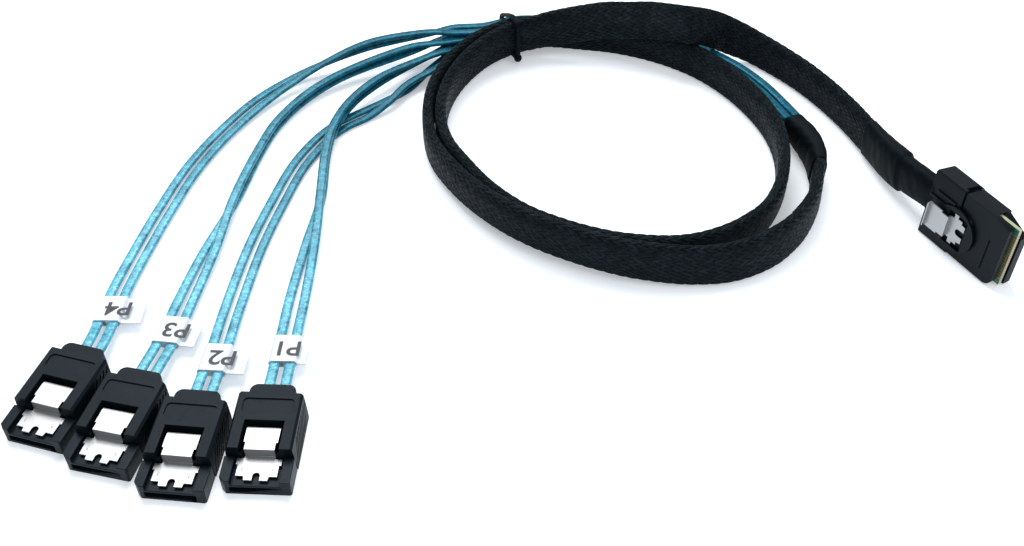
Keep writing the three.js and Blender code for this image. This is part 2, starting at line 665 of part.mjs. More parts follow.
function sasShell() {
  const low = SHELL_INSET;
  const high = SAS_HEIGHT - SHELL_INSET;
  const rear = COVER_LENGTH + GAP;
  const farTopRear = FAR_WALL_TOP_REAR;
  const nearEdge = CARD_MIDDLE - CARD_THICKNESS / 2 - CARD_CLEARANCE;
  const farEdge = CARD_MIDDLE + CARD_THICKNESS / 2 + CARD_CLEARANCE;
  const roofFar = high - COVER_SLOPE;
  const section = outline([
    [SHELL_NEAR, low], [SHELL_FAR, low], [SHELL_FAR, roofFar], [SHELL_NEAR, high],
  ]);
  const trunk = alongX(section, rear, FAR_WALL_FRONT);
  const tail = block([COVER_LENGTH - TAIL_LENGTH, TAIL_WALL + GAP, low + TAIL_WALL],
    [rear + THROUGH, SHELL_FAR - TAIL_WALL + GAP, SAS_HEIGHT - COVER_SLOPE - TAIL_WALL]);
  const cardRear = CARD_REAR - GAP;
  const cardLow = CARD_BOTTOM - GAP;
  const roofUnder = CARD_TOP + GAP;
  const sideCut = (points, near, far) => alongY(outline(points), near, far);
  const slot = block([cardRear, nearEdge, cardLow], [FAR_WALL_FRONT + THROUGH, farEdge, roofUnder]);
  const openTop = block([ROOF_FRONT, nearEdge, roofUnder - THROUGH], [FAR_WALL_FRONT + THROUGH, farEdge, high + THROUGH]);
  const openBottom = block([FLOOR_FRONT, nearEdge, low - THROUGH], [FAR_WALL_FRONT + THROUGH, farEdge, cardLow + THROUGH]);
  const nearFront = block([NEAR_WALL_FRONT, SHELL_NEAR - THROUGH, low - THROUGH],
    [FAR_WALL_FRONT + THROUGH, nearEdge + GAP, high + THROUGH]);
  const farTop = sideCut([
    [ROOF_FRONT, farTopRear], [FAR_WALL_FRONT + THROUGH, FAR_WALL_TOP_FRONT - THROUGH / 2],
    [FAR_WALL_FRONT + THROUGH, high + THROUGH], [ROOF_FRONT, high + THROUGH],
  ], farEdge - GAP, SHELL_FAR + THROUGH);
  const nearTop = sideCut([
    [ROOF_FRONT, high], [NEAR_WALL_FRONT, high - WALL_DROP], [NEAR_WALL_FRONT + THROUGH, high - WALL_DROP],
    [NEAR_WALL_FRONT + THROUGH, high + THROUGH], [ROOF_FRONT, high + THROUGH],
  ], SHELL_NEAR - THROUGH, nearEdge + GAP);
  const corner = new THREE.Shape();
  corner.moveTo(NEAR_WALL_FRONT - NOSE_CORNER, low);
  corner.absarc(NEAR_WALL_FRONT - NOSE_CORNER, low + NOSE_CORNER, NOSE_CORNER, -Math.PI / 2, 0, false);
  corner.lineTo(FAR_WALL_FRONT + THROUGH, low + NOSE_CORNER);
  corner.lineTo(FAR_WALL_FRONT + THROUGH, low - THROUGH);
  corner.lineTo(NEAR_WALL_FRONT - NOSE_CORNER, low - THROUGH);
  const cornerGeometry = alongY(corner, SHELL_NEAR - THROUGH, nearEdge + GAP);
  const groove = block([GROOVE_PLACE - GROOVE_SIZE / 2, SHELL_NEAR - THROUGH, GROOVE_LOW],
    [GROOVE_PLACE + GROOVE_SIZE / 2, SHELL_NEAR + GROOVE_SIZE, GROOVE_HIGH]);
  return cutBy(trunk.add(tail), [slot, openTop, openBottom, nearFront, farTop, nearTop, cornerGeometry, groove]);
}

function paddleCard() {
  const near = CARD_MIDDLE - CARD_THICKNESS / 2;
  const far = CARD_MIDDLE + CARD_THICKNESS / 2;
  const board = block([CARD_REAR, near, CARD_BOTTOM], [CARD_FRONT, far, CARD_TOP]);
  const middle = (CARD_BOTTOM + CARD_TOP) / 2;
  const fingers = [];
  for (let index = 0; index < FINGER_COUNT; index += 1) {
    const height = middle + (index - (FINGER_COUNT - 1) / 2) * FINGER_PITCH;
    fingers.push(block(
      [CARD_FRONT - FINGER_SETBACK - FINGER_LENGTH, near - FINGER_RISE, height - FINGER_WIDTH / 2],
      [CARD_FRONT - FINGER_SETBACK, far + FINGER_RISE, height + FINGER_WIDTH / 2],
    ));
  }
  return joined([board, ...fingers]);
}

function sasLatch() {
  const plateNear = -SHEET;
  const padNear = -SAS_PAD_RISE;
  const half = SAS_PAD_WIDTH / 2;
  const neckHalf = SAS_PAD_NECK_WIDTH / 2;
  const plate = raised(latchPlate({
    front: -SAS_PLATE_FRONT,
    back: -SAS_PAD_FRONT,
    width: SAS_PLATE_WIDTH,
    shoulder: SAS_PLATE_SHOULDER_WIDTH,
    root: SAS_PAD_NECK_WIDTH,
    tongueSpan: SAS_TONGUE_SPAN,
    tongueLength: SAS_TONGUE_LENGTH,
    ear: SAS_EAR_LENGTH,
    notchWidth: SAS_NOTCH_WIDTH,
    notchDepth: SAS_NOTCH_DEPTH,
  }), -SHEET, 0);
  // The plan shape lies in X and Y with its front at the low end: it is stood up against the near face
  const stood = plate.transform([
    0, 0, 1, 0,
    -1, 0, 0, 0,
    0, 1, 0, 0,
    0, 0, LATCH_HEIGHT, 1,
  ]);
  const neckRear = SAS_PAD_FRONT - SAS_PAD_NECK_LENGTH;
  const riser = block([SAS_PAD_FRONT - SHEET, padNear, LATCH_HEIGHT - neckHalf],
    [SAS_PAD_FRONT + SHEET / 2, 0, LATCH_HEIGHT + neckHalf]);
  const neck = block([neckRear - SHEET, padNear, LATCH_HEIGHT - neckHalf],
    [SAS_PAD_FRONT + SHEET / 2, padNear + SHEET, LATCH_HEIGHT + neckHalf]);
  const pad = block([SAS_PAD_REAR, padNear, LATCH_HEIGHT - half], [neckRear, padNear + SHEET, LATCH_HEIGHT + half]);
  const lip = block([SAS_PAD_REAR, padNear - SAS_LIP_RISE, LATCH_HEIGHT - half],
    [SAS_PAD_REAR + SHEET, padNear + SHEET, LATCH_HEIGHT + half]);
  return joined([stood, riser, neck, pad, lip]);
}

// Cable

// Lean of a flat cord between its points, in radians, from the degrees that a point may carry
function leanAt(points, share) {
  const place = share * (points.length - 1);
  const index = Math.min(Math.floor(place), points.length - 2);
  const [before, after] = [points[index], points[index + 1]].map(([, , , lean = 0]) => lean * DEGREE);
  return before + (after - before) * THREE.MathUtils.smoothstep(place - index, 0, 1);
}

// Smooth route whose sections stand upright all the way, however it turns
function curveThrough(points) {
  const knots = points.map(([x, y, z]) => new THREE.Vector3(x, y, z));
  const curve = new THREE.CatmullRomCurve3(knots, false, 'centripetal');
  curve.computeFrenetFrames = (steps) => {
    const frames = { tangents: [], normals: [], binormals: [] };
    for (let index = 0; index <= steps; index += 1) {
      const tangent = curve.getTangentAt(index / steps);
      const across = new THREE.Vector3().crossVectors(tangent, UP).normalize();
      across.applyAxisAngle(tangent, leanAt(points, curve.getUtoTmapping(index / steps)));
      frames.tangents.push(tangent);
      frames.normals.push(new THREE.Vector3().crossVectors(across, tangent));
      frames.binormals.push(across);
    }
    return frames;
  };
  return curve;
}

// Flat oval: X of the shape stands up, Y lies across
function ovalSection(standing, across, corner) {
  const sides = 12;
  const points = [];
  for (let index = 0; index < sides; index += 1) {
    const angle = ((index + 0.5) / sides) * 2 * Math.PI;
    const c = Math.cos(angle);
    const s = Math.sin(angle);
    points.push([
      Math.sign(c) * Math.abs(c) ** corner * standing / 2,
      Math.sign(s) * Math.abs(s) ** corner * across / 2,
    ]);
  }
  return outline(points);
}

function tube(curve, section, steps) {
  return new THREE.ExtrudeGeometry(section, { steps, extrudePath: curve, bevelEnabled: false });
}

// Tube whose section grows and shrinks along its route: sizes is a function of the share of its length
function taperedTube(points, steps, sizes) {
  const curve = curveThrough(points);
  const geometry = tube(curve, ovalSection(1, 1, 0.7), steps);
  const position = geometry.attributes.position;
  const centres = curve.getSpacedPoints(steps);
  const vertex = new THREE.Vector3();
  for (let index = 0; index < position.count; index += 1) {
    vertex.fromBufferAttribute(position, index);
    let nearest = 0;
    centres.forEach((centre, place) => {
      if (centre.distanceTo(vertex) < centres[nearest].distanceTo(vertex)) nearest = place;
    });
    const { width, thickness } = sizes(nearest / steps);
    const centre = centres[nearest];
    vertex.set(
      centre.x + (vertex.x - centre.x) * thickness,
      centre.y + (vertex.y - centre.y) * thickness,
      centre.z + (vertex.z - centre.z) * width,
    );
    position.setXYZ(index, vertex.x, vertex.y, vertex.z);
  }
  return geometry;
}

function mix(from, to, share) {
  return {
    width: from.width + (to.width - from.width) * share,
    thickness: from.thickness + (to.thickness - from.thickness) * share,
  };
}

// The boot's thick rear stage ends in a step, and its thinner stage runs on into the plug
function bootSizes(share) {
  if (share < BOOT_STEP_PLACE) {
    const stage = mix(BOOT_PLUG, BOOT_MIDDLE, share / BOOT_STEP_PLACE);
    return { width: stage.width - BOOT_STEP_RISE, thickness: stage.thickness - BOOT_STEP_RISE };
  }
  return mix(BOOT_MIDDLE, BOOT_END, (share - BOOT_STEP_PLACE) / (1 - BOOT_STEP_PLACE));
}

function breakoutSizes(share) {
  return mix(BREAKOUT_SLEEVE_END, BREAKOUT_LEAD_END, share ** 2);
}

// Route of a port's two leads, one each side of this line
function portRoute(port) {
  const turn = port.turn * DEGREE;
  const back = [-Math.sin(turn), Math.cos(turn)];
  const rear = SATA_BASE_LENGTH + BLOCK_LENGTH + NECK_LENGTH;
  const behind = (distance, height) => [
    port.face[0] + back[0] * distance, port.face[1] + back[1] * distance, height,
  ];
  const trunk = TRUNK_ROUTE.map(([x, y, z]) => [x, y, z + port.layer * TRUNK_LAYER]);
  return [
    ...trunk,
    ...port.route,
    behind(rear + LEAD_STRAIGHT, LEAD_ENTRY),
    behind(rear - SOCKET_DEPTH + GAP, LEAD_ENTRY),
  ];
}

// The line moved sideways, by half the trunk's spacing at first and half the plug's spacing at its end.
// Where a point carries a roll in degrees, the pair turns from lying side by side to lying stacked.
function beside(points, side) {
  const trunkEnd = TRUNK_ROUTE.length;
  return points.map(([x, y, z, roll = 0], index) => {
    const before = points[Math.max(index - 1, 0)];
    const after = points[Math.min(index + 1, points.length - 1)];
    const run = Math.hypot(after[0] - before[0], after[1] - before[1]);
    const share = Math.max(0, (index - trunkEnd) / (points.length - 4 - trunkEnd));
    const spacing = TRUNK_SPACING + (PLUG_SPACING - TRUNK_SPACING) * Math.min(1, share);
    const shift = (side * spacing * Math.sqrt(Math.abs(Math.cos(roll * DEGREE)))) / 2;
    const rise = (side * STACKED_SPACING * Math.sqrt(Math.sin(roll * DEGREE))) / 2;
    return [x - ((after[1] - before[1]) / run) * shift, y + ((after[0] - before[0]) / run) * shift, z + rise];
  });
}

// Label: a sheet folded round both leads and pressed together into a flag
function label(flagLength) {
  const inner = (PLUG_SPACING + LEAD_WIDTH) / 2 + LABEL_CLEARANCE;
  const rise = LEAD_THICKNESS / 2 + LABEL_CLEARANCE;
  const outer = inner + LABEL_SHEET;
  const half = LABEL_LENGTH / 2;
  const wrap = block([-outer, -half, -rise - LABEL_SHEET], [outer, half, rise + LABEL_SHEET])
    .subtract(block([-inner, -half - THROUGH, -rise], [inner, half + THROUGH, rise]));
  const flag = block([inner + LABEL_SHEET / 2, -half, -LABEL_SHEET], [outer + flagLength, half, LABEL_SHEET]);
  return wrap.add(flag);
}

// Band round both turns of the sleeve and the leads, with its knot below the near side
function bundleTie() {
  const inner = new wasm.CrossSection([TIE_CORNERS]).offset(-TIE_ROUNDING, 'Round')
    .offset(TIE_ROUNDING, 'Round', 2, 24);
  const outer = inner.offset(TIE_THICKNESS, 'Round', 2, 24);
  const band = outer.subtract(inner).extrude(TIE_WIDTH, 0, 0, [1, 1], true);
  const knot = new THREE.SphereGeometry(TIE_KNOT_RADIUS, 10, 8);
  const [across, height] = TIE_CORNERS[0];
  knot.translate(across, height + TIE_ROUNDING, 0);
  return band.add(toSolid(knot));
}

// Assembly

const cable = new THREE.Group();
cable.position.set(...CENTRING);

const housingGeometry = toGeometry(sataHousing());
const overmouldGeometry = toGeometry(sataOvermould());
const sataLatchGeometry = toGeometry(sataLatch());
const contactGeometry = toGeometry(sataContact());

for (const port of PORTS) {
  const plug = new THREE.Group();
  plug.position.set(port.face[0], port.face[1], 0);
  plug.rotation.z = port.turn * DEGREE;
  plug.add(mesh(`sata_housing_${port.name}`, housingGeometry, blackPlastic));
  plug.add(mesh(`sata_overmould_${port.name}`, overmouldGeometry, blackPlastic));
  plug.add(mesh(`sata_latch_${port.name}`, sataLatchGeometry, brightSteel));
  for (let index = 0; index < CONTACT_COUNT; index += 1) {
    const contact = mesh(`contact_${port.name}_${index + 1}`, contactGeometry, gold);
    contact.position.x = (index - (CONTACT_COUNT - 1) / 2) * CONTACT_PITCH;
    plug.add(contact);
  }
  cable.add(plug);

  const route = portRoute(port);
  [['a', 1], ['b', -1]].forEach(([letter, side]) => {
    const curve = curveThrough(beside(route, side));
    const section = ovalSection(LEAD_THICKNESS, LEAD_WIDTH, 0.8);
    cable.add(mesh(`lead_${port.name}_${letter}`, tube(curve, section, LEAD_STEPS), leadBlue));
  });

  const line = curveThrough(route);
  const place = 1 - (port.labelDistance + SOCKET_DEPTH) / line.getLength();
  const tag = mesh(`label_${port.name}`, toGeometry(label(port.flag)), labelWhite);
  const along = line.getTangentAt(place).negate();
  const across = new THREE.Vector3(along.y, -along.x, 0).normalize();
  const up = new THREE.Vector3().crossVectors(across, along);
  tag.applyMatrix4(new THREE.Matrix4().makeBasis(across, along, up).setPosition(line.getPointAt(place)));
  cable.add(tag);
}

const sasPlug = new THREE.Group();
sasPlug.position.set(SAS_CORNER[0], SAS_CORNER[1], 0);
sasPlug.rotation.z = SAS_TURN * DEGREE;
sasPlug.add(mesh('sas_back_cover', toGeometry(sasCover()), blackPlastic));
sasPlug.add(mesh('sas_front_shell', toGeometry(sasShell()), blackPlastic));
sasPlug.add(mesh('sas_latch', toGeometry(sasLatch()), brightSteel));
sasPlug.add(mesh('paddle_card', toGeometry(paddleCard()), cardGreen));
cable.add(sasPlug);

cable.add(mesh('sas_boot', taperedTube(BOOT_ROUTE, 14, bootSizes), shrinkBlack));
cable.add(mesh('braided_sleeve',
  tube(curveThrough(SLEEVE_ROUTE), ovalSection(SLEEVE_WIDTH, SLEEVE_THICKNESS, 0.6), SLEEVE_STEPS), braidBlack));
cable.add(mesh('breakout_boot', taperedTube(BREAKOUT_ROUTE, 10, breakoutSizes), shrinkBlack));

const tie = mesh('bundle_tie', toGeometry(bundleTie()), shrinkBlack);
const tieAcross = new THREE.Vector3(Math.cos(TIE_TURN * DEGREE), Math.sin(TIE_TURN * DEGREE), 0);
const tieAlong = new THREE.Vector3().crossVectors(tieAcross, UP);
tie.applyMatrix4(new THREE.Matrix4().makeBasis(tieAcross, UP, tieAlong).setPosition(...TIE_PLACE));
cable.add(tie);

export default cable;
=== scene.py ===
import bisect
import math

import bmesh
import bpy
from mathutils import Matrix, Vector


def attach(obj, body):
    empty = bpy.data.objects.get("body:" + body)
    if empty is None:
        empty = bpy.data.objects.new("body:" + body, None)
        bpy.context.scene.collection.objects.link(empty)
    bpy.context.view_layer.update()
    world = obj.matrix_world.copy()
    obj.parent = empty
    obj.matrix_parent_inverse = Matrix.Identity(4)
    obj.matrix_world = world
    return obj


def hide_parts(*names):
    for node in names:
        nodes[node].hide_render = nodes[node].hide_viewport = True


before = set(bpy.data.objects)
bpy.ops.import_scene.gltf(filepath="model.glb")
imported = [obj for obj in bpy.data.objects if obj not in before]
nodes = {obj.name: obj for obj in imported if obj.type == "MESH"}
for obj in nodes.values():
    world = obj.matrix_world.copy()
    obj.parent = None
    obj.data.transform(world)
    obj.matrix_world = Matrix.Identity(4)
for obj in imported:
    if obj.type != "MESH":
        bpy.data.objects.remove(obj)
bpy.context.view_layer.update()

MM = 0.001
scene = bpy.context.scene
collection = scene.collection

# Camera
FOCAL_PIXELS = 1200
FRAME_WIDTH = 1024
SENSOR = 36
CAMERA_ANGLE = math.radians(45.4)
CAMERA_DISTANCE = 290.6
CENTRING = Vector((0.06, -0.62, 0))
LOOK_AT = Vector((-5.8, 24.4, 0)) + CENTRING

camera_data = bpy.data.cameras.new("view")
camera_data.sensor_width = SENSOR
camera_data.lens = FOCAL_PIXELS / FRAME_WIDTH * SENSOR
camera_data.clip_start = 0.01
camera = bpy.data.objects.new("view", camera_data)
collection.objects.link(camera)
back = Vector((0, -math.cos(CAMERA_ANGLE), math.sin(CAMERA_ANGLE)))
camera.location = (LOOK_AT + back * CAMERA_DISTANCE) * MM
camera.rotation_euler = (math.pi / 2 - CAMERA_ANGLE, 0, 0)
scene.camera = camera

# Cord routes, from the mini SAS plug to the SATA plugs, in millimetres before CENTRING. A fourth number
# is the flat sleeve's lean, or how far a pair of leads has rolled from side by side to stacked, in degrees.
BOOT_ROUTE = [
    (98.7, 40.9, 10.2), (96.9, 44.4, 9.9), (94.4, 50.2, 8.7), (92.0, 57.4, 7.2), (90.1, 64.2, 6.2),
    (88.7, 68.9, 5.9),
]
SLEEVE_ROUTE = [
    (88.6, 69.3, 5.9), (85.0, 80.0, 5.4), (80.2, 90.0, 5.3), (74.5, 99.0, 5.3), (64.5, 110.3, 5.6, 5),
    (56.5, 112.4, 8.5, 15), (51.3, 110.2, 12.1, 20), (47.0, 108.1, 14.5, 26), (42.5, 107.0, 15.9, 30),
    (37.4, 108.7, 15.6, 33), (33.3, 110.7, 14.8, 34), (27.2, 111.8, 14.0, 34), (21.1, 113.7, 12.8, 30),
    (14.6, 114.5, 11.3, 25), (8.1, 114.3, 10.1, 18), (0.9, 113.5, 8.8, 6), (-4.9, 112.2, 8.0, 3),
    (-12.8, 107.4, 6.9), (-18.8, 100.8, 5.7), (-22.8, 92.4, 5.2), (-24.8, 82.9, 5.2), (-24.6, 72.9, 5.2),
    (-22.2, 63.7, 5.2), (-17.6, 55.4, 5.2), (-11.1, 45.8, 5.2), (-2.4, 37.3, 5.2), (6.4, 32.2, 5.2),
    (16.6, 27.8, 5.3, -4), (25.7, 26.0, 5.3, -6), (35.2, 25.8, 5.4, -8), (43.8, 28.4, 5.4, -8),
    (50.6, 32.8, 5.3, -4), (56.6, 38.8, 5.2), (61.1, 46.8, 5.2), (63.8, 55.4, 5.2), (64.9, 65.4, 5.2),
    (63.7, 75.6, 5.2), (60.2, 85.4, 5.2), (55.0, 94.6, 5.2), (48.2, 102.8, 5.2), (40.7, 108.8, 5.2),
    (32.9, 113.0, 5.2), (24.2, 116.1, 5.2), (14.7, 117.9, 5.2), (4.7, 118.1, 6.0), (-4.9, 115.9, 6.8),
    (-13.7, 111.3, 6.4), (-20.4, 104.6, 5.7), (-25.3, 96.0, 5.2), (-28.0, 85.4, 5.2), (-28.2, 74.4, 5.4),
    (-26.2, 63.7, 5.8), (-21.0, 53.1, 6.4), (-13.7, 43.1, 7.0), (-4.3, 34.3, 7.4, -2),
    (4.9, 28.8, 7.4, -5), (15.6, 24.2, 7.2, -7), (25.2, 22.0, 6.6, -10), (37.2, 21.4, 5.7, -14),
    (46.6, 22.7, 5.5, -18), (55.7, 26.9, 5.5, -16), (63.5, 34.0, 5.4, -10), (69.8, 44.4, 5.3, -4),
    (72.8, 55.4, 5.2),
]
BREAKOUT_ROUTE = [(72.9, 55.8, 5.2), (73.3, 62.0, 5.1), (72.3, 68.5, 4.9), (70.0, 75.4, 4.6)]
TRUNK_ROUTE = [
    (69.7, 76.2, 2.2), (67.4, 84.0, 1.0), (63.6, 92.2, 0.8), (58.0, 100.4, 0.8), (51.2, 107.4, 0.8),
    (44.2, 112.4, 0.8), (36.2, 116.6, 0.8), (27.2, 120.3, 0.8), (16.7, 122.6, 0.8), (5.2, 123.0, 1.6),
    (-4.4, 121.1, 3.0), (-13.6, 116.9, 3.4),
]
TRUNK_LAYER = 1.5
PORTS = [
    {"name": "P4", "face": (-107.0, -27.5), "turn": -16, "layer": 3, "label": 14, "flag": 4.4, "route": [
        (-22.8, 116.0, 7.8), (-27.7, 115.4, 7.6, 45), (-32.6, 114.6, 7.3, 80), (-47.3, 110.8, 6.2, 90),
        (-60.2, 104.8, 3.8, 60), (-68.5, 99.0, 2.2, 20), (-76.8, 89.4, 1.5), (-85.1, 74.9, 1.0),
        (-90.2, 61.5, 1.0), (-93.8, 46.7, 1.0), (-97.2, 28.9, 1.0), (-98.9, 16.4, 1.4), (-99.2, 6.2, 2.3)]},
    {"name": "P3", "face": (-91.8, -34.7), "turn": -13, "layer": 2, "label": 14, "flag": 3.2, "route": [
        (-23.3, 113.9, 6.3), (-29.0, 112.0, 5.9, 45), (-34.8, 109.8, 5.5, 90), (-53.3, 101.0, 3.2, 90),
        (-63.2, 92.2, 2.0, 90), (-69.9, 80.5, 1.7, 90), (-73.2, 68.5, 1.7, 90), (-76.6, 49.7, 1.7, 90),
        (-80.0, 30.4, 1.3, 30), (-82.6, 13.5, 1.4), (-84.0, 1.3, 2.3)]},
    {"name": "P2", "face": (-75.2, -40.9), "turn": -5.5, "layer": 0, "label": 11.2, "flag": 3.8, "route": [
        (-22.4, 110.2, 3.2), (-28.8, 103.8, 2.6, 45), (-35.3, 96.4, 2.0, 90), (-40.8, 90.2, 1.6, 45),
        (-46.3, 85.4, 0.9), (-52.0, 81.0, 0.8), (-56.4, 75.6, 0.8), (-61.8, 64.4, 0.8), (-65.8, 48.6, 0.9),
        (-69.0, 32.1, 1.0), (-71.2, 11.5, 1.2), (-71.9, -3.6, 2.3)]},
    {"name": "P1", "face": (-58.1, -39.4), "turn": -2.5, "layer": 1, "label": 12.4, "flag": 1.6, "route": [
        (-22.8, 111.9, 4.8), (-27.8, 109.1, 4.5, 45), (-32.8, 105.7, 4.2, 70), (-42.8, 97.4, 3.9, 90),
        (-50.3, 87.3, 3.5, 90), (-54.0, 76.4, 3.4, 90), (-55.0, 66.4, 3.0, 90), (-54.8, 50.4, 1.8, 90),
        (-55.4, 33.9, 1.7, 60), (-56.4, 16.4, 1.0), (-56.8, -2.4, 2.3)]},
]
PLUG_LENGTH = 24.4
LEAD_STRAIGHT = 2
SOCKET_REACH = 1.7
LEAD_ENTRY = 3.3
TRUNK_SPACING = 2.7
STACKED_SPACING = 1.8
PLUG_SPACING = 3.5
LEAD_WIDTH = 2.4
LEAD_THICKNESS = 1.2
LABEL_LENGTH = 8.4
LABEL_BEHIND_ROUTE_END = 2
ENTRY_POINTS = 4  # points at a route's end where the pair is as wide as in the plug


def smooth(points, each=12):
    """Points along the centripetal Catmull-Rom curve through points, each to a span."""
    knots = [Vector(p[:3]) for p in points]
    line = []
    for i in range(len(knots) - 1):
        p1, p2 = knots[i], knots[i + 1]
        p0 = knots[i - 1] if i else p1 * 2 - p2
        p3 = knots[i + 2] if i + 2 < len(knots) else p2 * 2 - p1
        d0, d1, d2 = (math.sqrt((b - a).length) for a, b in ((p0, p1), (p1, p2), (p2, p3)))
        t1 = ((p1 - p0) / d0 - (p2 - p0) / (d0 + d1) + (p2 - p1) / d1) * d1
        t2 = ((p2 - p1) / d1 - (p3 - p1) / (d1 + d2) + (p3 - p2) / d2) * d1
        for k in range(each):
            t = k / each
            square = (p2 * 3 - p1 * 3 - t1 * 2 - t2) * t * t
            cube = (p1 * 2 - p2 * 2 + t1 + t2) * t ** 3
            line.append(p1 + t1 * t + square + cube)
    line.append(knots[-1])
    return line


def spaced(line, count):
    """count + 1 points evenly along a polyline, and its length."""
    marks = [0.0]
    for a, b in zip(line, line[1:]):
        marks.append(marks[-1] + (b - a).length)
    total = marks[-1]
    out, at = [], 0
    for k in range(count + 1):
        goal = total * k / count
        while at < len(marks) - 2 and marks[at + 1] < goal:
            at += 1
        share = (goal - marks[at]) / (marks[at + 1] - marks[at])
        out.append(line[at].lerp(line[at + 1], share))
    return out, total


def lean_along(points, line):
    """The lean in radians that the points carry, as a function of the share of the line's length."""
    each = (len(line) - 1) // (len(points) - 1)
    marks = [0.0]
    for a, b in zip(line, line[1:]):
        marks.append(marks[-1] + (b - a).length)
    carried = [math.radians(p[3]) if len(p) > 3 else 0 for p in points]

    def lean(share):
        goal = share * marks[-1]
        at = min(max(bisect.bisect(marks, goal) - 1, 0), len(marks) - 2)
        place = (at + (goal - marks[at]) / (marks[at + 1] - marks[at])) / each
        index = min(int(place), len(points) - 2)
        part = place - index
        return carried[index] + (carried[index + 1] - carried[index]) * part * part * (3 - 2 * part)
    return lean


def tangents(line):
    last = len(line) - 1
    return [(line[min(i + 1, last)] - line[max(i - 1, 0)]).normalized() for i in range(last + 1)]


UP = Vector((0, 0, 1))


def new_object(name, mesh):
    piece = bpy.data.objects.new(name, mesh)
    collection.objects.link(piece)
    return piece


def tube(name, line, section, lean=None):
    """Closed tube along line. section(share) gives the points (up, across), in millimetres, of the ring at
    that share of the length.

    The UV map holds metres along the tube and metres round its section."""
    total = sum((b - a).length for a, b in zip(line, line[1:]))
    ways = tangents(line)
    verts, faces, coords = [], [], []
    along = 0.0
    count = None
    for k, (point, way) in enumerate(zip(line, ways)):
        if k:
            along += (point - line[k - 1]).length
        across = way.cross(UP).normalized()
        normal = across.cross(way)
        if lean:
            turn = Matrix.Rotation(lean(along / total), 3, way)
            across, normal = turn @ across, turn @ normal
        ring = section(along / total)
        count = len(ring)
        walk = 0.0
        for i, (up, side) in enumerate(ring):
            if i:
                walk += math.dist(ring[i - 1], ring[i])
            verts.append((point + normal * up + across * side + CENTRING) * MM)
            coords.append((along * MM, walk * MM))
        coords.append((along * MM, (walk + math.dist(ring[-1], ring[0])) * MM))
    rings = len(line)
    uvs = []
    for k in range(rings - 1):
        for i in range(count):
            j = (i + 1) % count
            faces.append((k * count + i, k * count + j, (k + 1) * count + j, (k + 1) * count + i))
            row, nxt = k * (count + 1), (k + 1) * (count + 1)
            uvs += [coords[row + i], coords[row + i + 1], coords[nxt + i + 1], coords[nxt + i]]
    first = tuple(range(count - 1, -1, -1))
    end = tuple((rings - 1) * count + i for i in range(count))
    faces += [first, end]
    uvs += [coords[i] for i in first] + [coords[(rings - 1) * (count + 1) + i] for i in range(count)]
    mesh = bpy.data.meshes.new(name)
    mesh.from_pydata(verts, [], faces)
    layer = mesh.uv_layers.new(name="run")
    for loop, uv in zip(layer.data, uvs):
        loop.uv = uv
    bm = bmesh.new()
    bm.from_mesh(mesh)
    bmesh.ops.recalc_face_normals(bm, faces=bm.faces)
    bm.to_mesh(mesh)
    bm.free()
    for face in mesh.polygons:
        face.use_smooth = len(face.vertices) == 4
    return new_object(name, mesh)


def oval(up, across, power, count):
    """Points (up, across) of a rounded flat section, up and across being its whole sizes."""
    ring = []
    for i in range(count):
        angle = 2 * math.pi * (i + 0.5) / count
        c, s = math.cos(angle), math.sin(angle)
        ring.append((
            math.copysign(abs(c) ** power, c) * up / 2,
            math.copysign(abs(s) ** power, s) * across / 2,
        ))
    return ring


def port_route(port):
    """Route of a port's pair of leads, from the breakout into the plug."""
    turn = math.radians(port["turn"])

    def behind(distance):
        x, y = port["face"]
        return (x - math.sin(turn) * distance, y + math.cos(turn) * distance, LEAD_ENTRY)

    trunk = [(x, y, z + port["layer"] * TRUNK_LAYER) for x, y, z in TRUNK_ROUTE]
    return trunk + port["route"] + [behind(PLUG_LENGTH + LEAD_STRAIGHT), behind(PLUG_LENGTH - SOCKET_REACH)]


def beside(points, side):
    """The route moved to one of the pair's two leads: sideways, and up or down where the pair is rolled."""
    trunk_end = len(TRUNK_ROUTE)
    out = []
    for i, (x, y, z, *carried) in enumerate(points):
        roll = math.radians(carried[0]) if carried else 0
        before, after = points[max(i - 1, 0)], points[min(i + 1, len(points) - 1)]
        run = math.hypot(after[0] - before[0], after[1] - before[1])
        share = min(1, max(0, (i - trunk_end) / (len(points) - ENTRY_POINTS - trunk_end)))
        spacing = TRUNK_SPACING + (PLUG_SPACING - TRUNK_SPACING) * share
        shift = side * spacing / 2 * math.sqrt(abs(math.cos(roll)))
        rise = side * STACKED_SPACING / 2 * math.sqrt(math.sin(roll))
        out.append((x - (after[1] - before[1]) / run * shift, y + (after[0] - before[0]) / run * shift, z + rise))
    return out


# Materials

